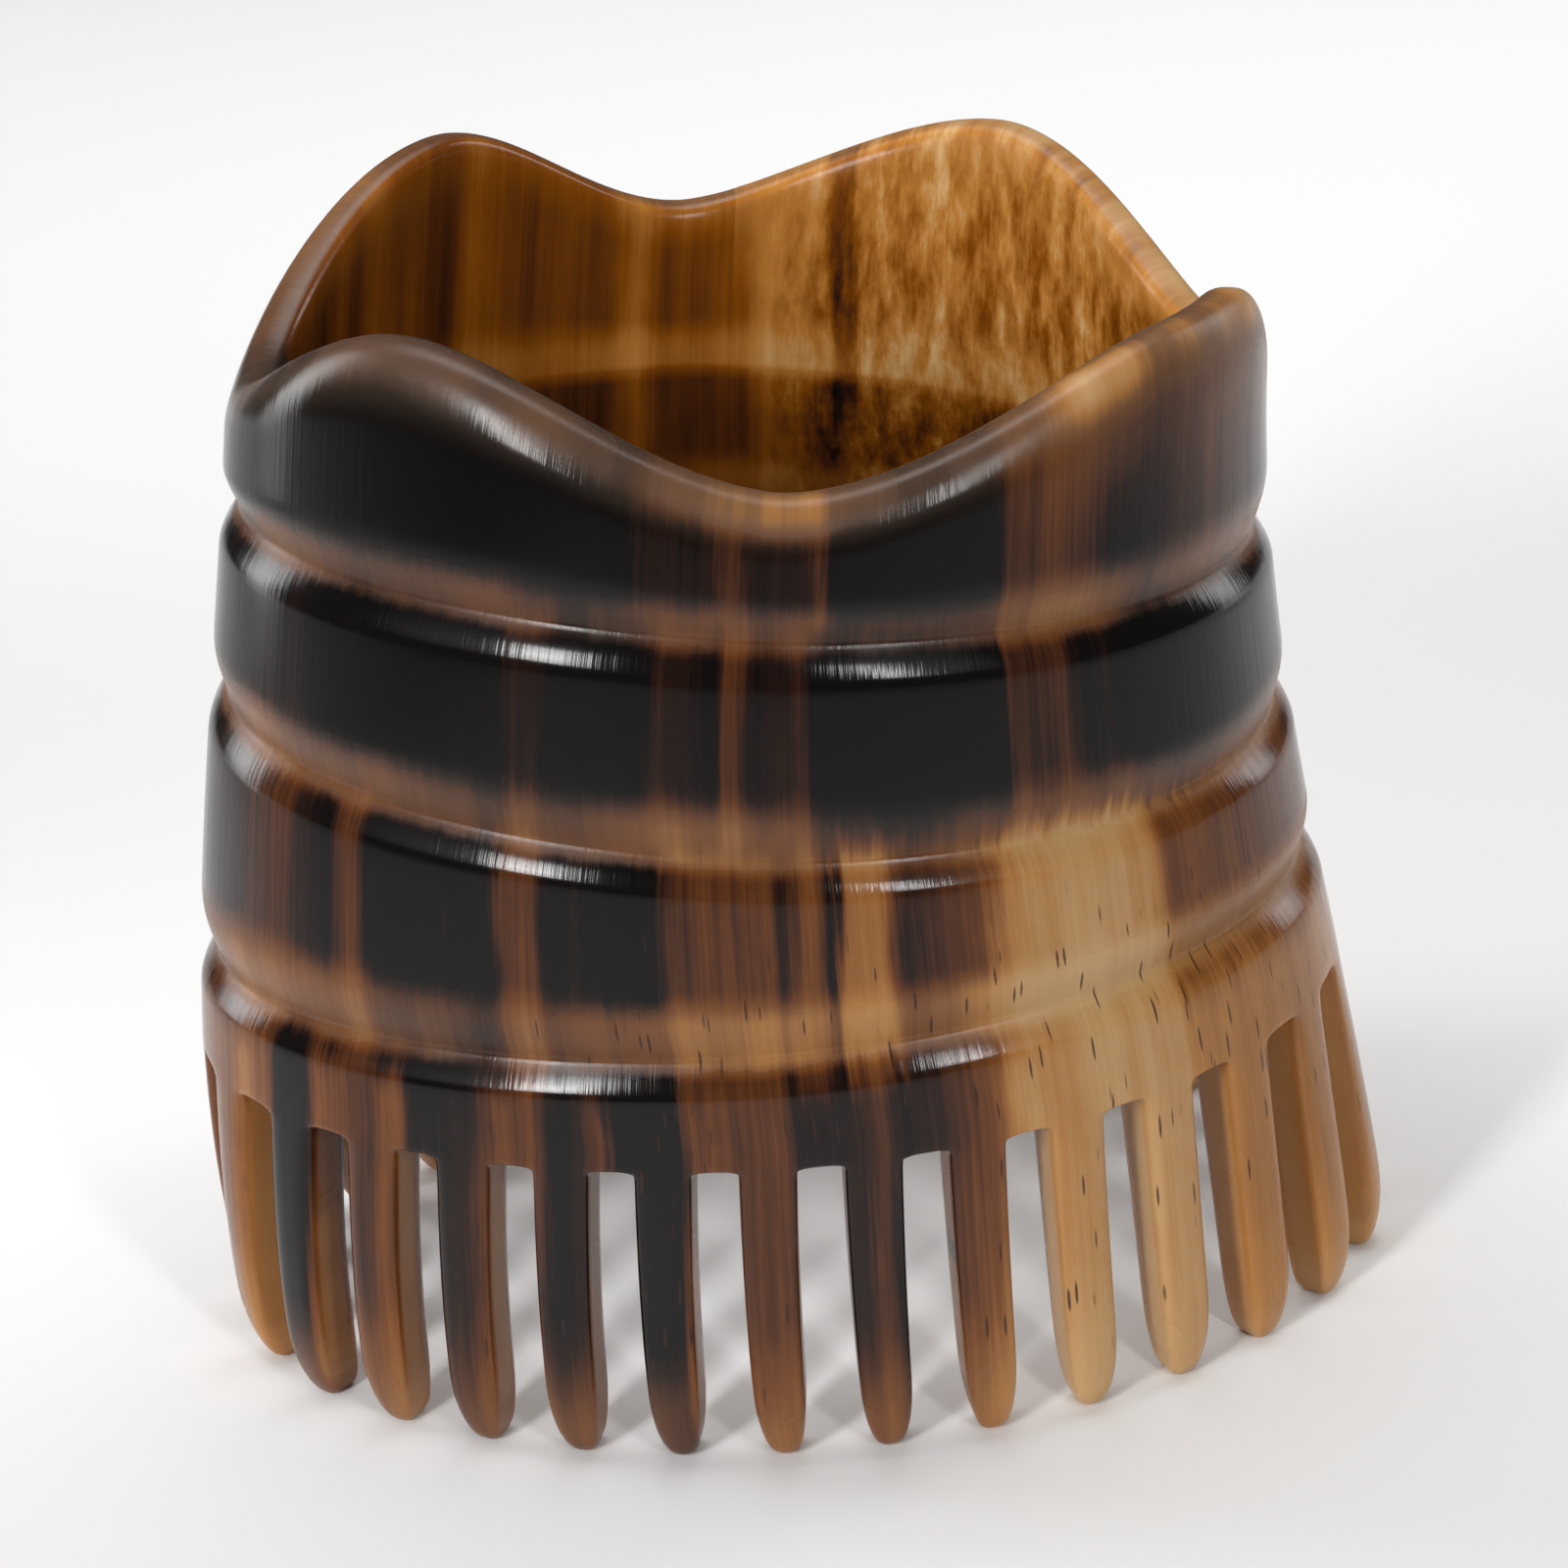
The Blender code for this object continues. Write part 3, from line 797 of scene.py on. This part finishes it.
def horn_pigment(tree, degrees, level, inner, noises):
    """The charts broken up by streaks and flecks, with painted light on the inner wall: lighter over the high
    groove where light comes through, darker below it.
    """
    wander, ragged, fibres, broad, mottle = noises
    chart = pigment_chart(tree, degrees + wander * 5.0 + ragged * 4.0, level + ragged * 4.0 + wander * 3.0)
    side, back = FLECKED_ANGLES
    flecked = (degrees.eased(*side) - degrees.eased(*back)) * level.eased(*FLECKED_LEVELS)
    fine = fibres * (inner * -0.5 + 1.0) * chart.eased(0.15, 0.65, 0.17, 0.38)
    streaks = broad * (inner * 0.30 + 0.30) + fine
    # Painted light band on the inner wall over the high groove, and darker below it.
    painted_glow_band = level.eased(*INNER_LINE, -0.10, 0.10) - level.eased(*INNER_BAND_END, 0.0, 0.08)
    return chart + streaks + mottle * (flecked + 0.08) - inner * painted_glow_band


def colour_mix(tree, share, first, second):
    """The first colour where the share is 0, and the second, a constant, where it is 1."""
    node = add_node(tree, "ShaderNodeMix", data_type="RGBA")
    share_slot, first_slot, second_slot = (0, 6, 7)
    feed(tree, share, node.inputs[share_slot])
    feed(tree, first, node.inputs[first_slot])
    feed(tree, (*second, 1.0), node.inputs[second_slot])
    return node.outputs[2]


def horn_colour(tree, pigment, thin, level, inner, colours, sizes):
    """The pigment's colours, with a painted glow on the inner wall, and a painted grey sheen over the horn's
    own smoky tone where the outer wall is thin.
    """
    tint = add_node(tree, "ShaderNodeValToRGB", {0: pigment})
    shades = (colours.blond, colours.golden, colours.amber, colours.brown, colours.umber, colours.black)
    elements = tint.color_ramp.elements
    elements[0].position, elements[0].color = SHADE_PLACES[0], (*shades[0], 1.0)
    elements[1].position, elements[1].color = SHADE_PLACES[-1], (*shades[-1], 1.0)
    for position, shade in zip(SHADE_PLACES[1:-1], shades[1:-1]):
        elements.new(position).color = (*shade, 1.0)

    # Painted glow: the inner wall is brightened and a little more saturated, standing for light shining through
    # the wall from behind.
    painted_inner_glow = {"Saturation": inner * 0.07 + 1.0, "Value": inner * 0.25 + 1.0, "Color": tint.outputs["Color"]}
    painted_glow_colour = add_node(tree, "ShaderNodeHueSaturation", painted_inner_glow)
    rim = sizes.levels()[-1] * MM
    # Painted grey sheen of reflected light over the horn's smoky tone: at thin places and near the rim, on
    # darker outer horn only.
    haze_and_sheen = thin.eased(0.12, 0.45, 0.0, 0.20) + level.eased(rim - 4.0, rim - 0.6, 0.0, 0.34)
    haze_and_sheen = haze_and_sheen * pigment.eased(0.20, 0.42) * (inner * -1.0 + 1.0)
    return colour_mix(tree, haze_and_sheen, painted_glow_colour.outputs["Color"], colours.haze_and_sheen)


def horn_material(colours, sizes):
    """Polished horn: streaked along the fibres, paler where it is thin (partly painted glow), with a painted
    inner glow and sheen, pores and a gloss.
    """
    material = bpy.data.materials.new("polished_horn")
    material.use_nodes = True
    tree = material.node_tree
    shader = tree.nodes["Principled BSDF"]

    grain = attribute(tree, "grain", "Vector")
    inset = attribute(tree, "inset", "Fac")
    sine, cosine, level = parted(tree, grain)
    girth = MM * (sizes.base_width + sizes.front_depth + sizes.back_depth) / 4
    place = vector_math(tree, "MULTIPLY", grain, (girth, girth, 1.0))
    degrees = sine.math("ARCTAN2", cosine) * (180 / math.pi)

    noises = [noise(tree, place, *grains) - 0.5 for grains in NOISES.values()]
    wander, ragged, fibres, broad, _ = noises
    inner = inset.eased(*INNER_FACE)
    # Paler horn at thin places: partly pigment cut away, partly painted glow of light through the horn.
    thin = thinned(degrees, level + ragged * 0.5, inset, sizes) * (wander * 1.7 + broad * 0.9 + 0.92)
    pigment = horn_pigment(tree, degrees, level, inner, noises) * (thin * -1.0 + 1.0)
    colour_out = horn_colour(tree, pigment, thin, level, inner, colours, sizes)
    spots = pores(tree, place, level, degrees) * PORE_STRENGTH
    feed(tree, colour_mix(tree, spots, colour_out, colours.pore), shader.inputs["Base Color"])

    polish = thin.eased(0.1, 0.45, 0.12, 0.32) + fibres * 0.06
    feed(tree, polish, shader.inputs["Roughness"])
    relief = add_node(tree, "ShaderNodeBump", {"Strength": 0.4, "Distance": 0.00008})
    feed(tree, fibres * 0.5 + broad * 0.8, relief.inputs["Height"])
    feed(tree, relief.outputs[0], shader.inputs["Normal"])
    shader.inputs["IOR"].default_value = 1.46
    shader.inputs["Specular IOR Level"].default_value = 0.36
    shader.inputs["Subsurface Weight"].default_value = 0.30
    shader.inputs["Subsurface Radius"].default_value = (1.0, 0.5, 0.22)
    shader.inputs["Subsurface Scale"].default_value = 0.0035
    return material


# --- operators ----------------------------------------------------------------


class COMB_OT_horn_comb(bpy.types.Operator):
    """Builds the comb: the horn ring with its rim, grooves and teeth"""

    bl_idname = "comb.horn_comb"
    bl_label = "Horn comb"

    def execute(self, context):
        sizes = context.scene.comb_sizes
        ring_radius = middle_perimeter(sizes) / (2 * math.pi)
        comb = bpy.data.objects.new("polished_comb", tooth_module(sizes, ring_radius))
        context.scene.collection.objects.link(comb)
        modifier = comb.modifiers.new("ring_comb", "NODES")
        modifier.node_group = comb_tree()
        root, low, middle, high, rim = sizes.levels()
        values = {
            "Teeth": sizes.teeth,
            "Smoothing": 1,
            "Material": horn_material(context.scene.comb_colours, sizes),
            "Base width": sizes.base_width,
            "Top width": sizes.top_width,
            "Front depth": sizes.front_depth,
            "Back depth": sizes.back_depth,
            "Bend radius": sizes.bend_radius,
            "Bend level": sizes.bend_level,
            "Lean back": sizes.lean_back,
            "Slot top": root,
            "Low groove": low,
            "Middle groove": middle,
            "High groove": high,
            "Rim": rim,
            "Wall": sizes.wall,
            "Ring radius": ring_radius,
            "Tooth slant": sizes.tooth_slant,
        }
        set_inputs(modifier, values)
        mesh = plain_mesh(comb, "polished_comb")
        if not mesh.polygons:
            raise RuntimeError("the comb came out empty")
        fitted_to_frame(mesh)
        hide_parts("horn_comb")
        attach(comb, "root")
        return {"FINISHED"}


class COMB_OT_stage(bpy.types.Operator):
    """Builds the stage: a pale floor, soft lights and the camera"""

    bl_idname = "comb.stage"
    bl_label = "Studio stage"

    def execute(self, context):
        scene = context.scene
        floor = bpy.data.meshes.new("floor")
        drawn = bmesh.new()
        bmesh.ops.create_grid(drawn, x_segments=1, y_segments=1, size=FLOOR_HALF)
        drawn.to_mesh(floor)
        drawn.free()
        ground = bpy.data.objects.new("floor", floor)
        scene.collection.objects.link(ground)
        material = bpy.data.materials.new("floor")
        material.use_nodes = True
        shader = material.node_tree.nodes["Principled BSDF"]
        shader.inputs["Base Color"].default_value = (*scene.comb_colours.floor, 1.0)
        shader.inputs["Roughness"].default_value = 0.9
        floor.materials.append(material)
        studio_lights(scene)
        studio_camera(scene)
        return {"FINISHED"}


def soft_light(scene, name, place, target, size, power, spread):
    """A rectangular softbox that faces target, hidden from the camera.

    Its grid holds the light to spread degrees.
    """
    lamp = bpy.data.lights.new(name, "AREA")
    lamp.shape = "RECTANGLE"
    lamp.size, lamp.size_y = size
    lamp.energy = power
    lamp.spread = math.radians(spread)
    light = bpy.data.objects.new(name, lamp)
    light.location = place
    light.rotation_mode = "QUATERNION"
    light.rotation_quaternion = (Vector(target) - Vector(place)).to_track_quat("-Z", "Y")
    light.visible_camera = False
    scene.collection.objects.link(light)


def round_from(azimuth, elevation, distance):
    """A place that far from the comb's middle. Azimuth 0 is straight in front, and 90 is on the +X side."""
    turn, rise = math.radians(azimuth), math.radians(elevation)
    level = distance * math.cos(rise)
    return level * math.sin(turn), -level * math.cos(turn), COMB_MIDDLE[2] + distance * math.sin(rise)


def studio_lights(scene):
    soft_light(scene, "left_softbox", round_from(-50, 26, 0.50), COMB_MIDDLE, (0.36, 0.28), 0.016, 50)
    soft_light(scene, "left_core", round_from(-37, 25, 0.50), COMB_MIDDLE, (0.075, 0.22), 0.12, 50)
    soft_light(scene, "left_strip", (-0.17, 0.05, 0.09), COMB_MIDDLE, (0.05, 0.16), 0.022, 60)
    soft_light(scene, "right_softbox", round_from(32, 26, 0.50), COMB_MIDDLE, (0.23, 0.26), 0.010, 50)
    soft_light(scene, "right_core", round_from(25, 25, 0.50), COMB_MIDDLE, (0.045, 0.20), 0.048, 50)
    soft_light(scene, "right_strip", (0.17, 0.05, 0.09), COMB_MIDDLE, (0.04, 0.16), 0.012, 60)
    soft_light(scene, "overhead_softbox", (0.0, 0.25, 0.42), (0.0, 0.25, 0.0), (1.10, 0.56), 1.70, 80)
    world = bpy.data.worlds.new("studio")
    world.use_nodes = True
    world.node_tree.nodes["Background"].inputs["Color"].default_value = (1.0, 1.0, 1.0, 1.0)
    world.node_tree.nodes["Background"].inputs["Strength"].default_value = 0.06
    scene.world = world
    scene.view_settings.view_transform = "Standard"


def studio_camera(scene):
    """Looks down on the front from close by, rolled a little."""
    lens = bpy.data.cameras.new("camera")
    lens.sensor_width = 36.0
    lens.lens = CAMERA_LENS
    lens.clip_start = 0.01
    camera = bpy.data.objects.new("camera", lens)
    pitch = Matrix.Rotation(math.radians(90.0 - CAMERA_PITCH), 4, "X")
    roll = Matrix.Rotation(math.radians(CAMERA_ROLL), 4, "Z")
    camera.matrix_world = Matrix.Translation(CAMERA_PLACE) @ pitch @ roll
    scene.collection.objects.link(camera)
    scene.camera = camera


class COMB_PT_panel(bpy.types.Panel):
    """Sizes, colours and build steps of the comb"""

    bl_idname = "COMB_PT_panel"
    bl_label = "Horn beard comb"
    bl_space_type = "VIEW_3D"
    bl_region_type = "UI"
    bl_category = "Horn comb"

    def draw(self, context):
        for group in (context.scene.comb_sizes, context.scene.comb_colours):
            column = self.layout.column()
            for name in group.__annotations__:
                column.prop(group, name)
        for operator in (COMB_OT_horn_comb, COMB_OT_stage):
            self.layout.operator(operator.bl_idname)


CLASSES = (CombSizes, CombColours, COMB_OT_horn_comb, COMB_OT_stage, COMB_PT_panel)


def register():
    for cls in CLASSES:
        bpy.utils.register_class(cls)
    bpy.types.Scene.comb_sizes = PointerProperty(type=CombSizes)
    bpy.types.Scene.comb_colours = PointerProperty(type=CombColours)


def unregister():
    del bpy.types.Scene.comb_colours
    del bpy.types.Scene.comb_sizes
    for cls in reversed(CLASSES):
        bpy.utils.unregister_class(cls)


def main():
    register()
    bpy.ops.comb.horn_comb()
    bpy.ops.comb.stage()


if __name__ == "__main__":
    main()
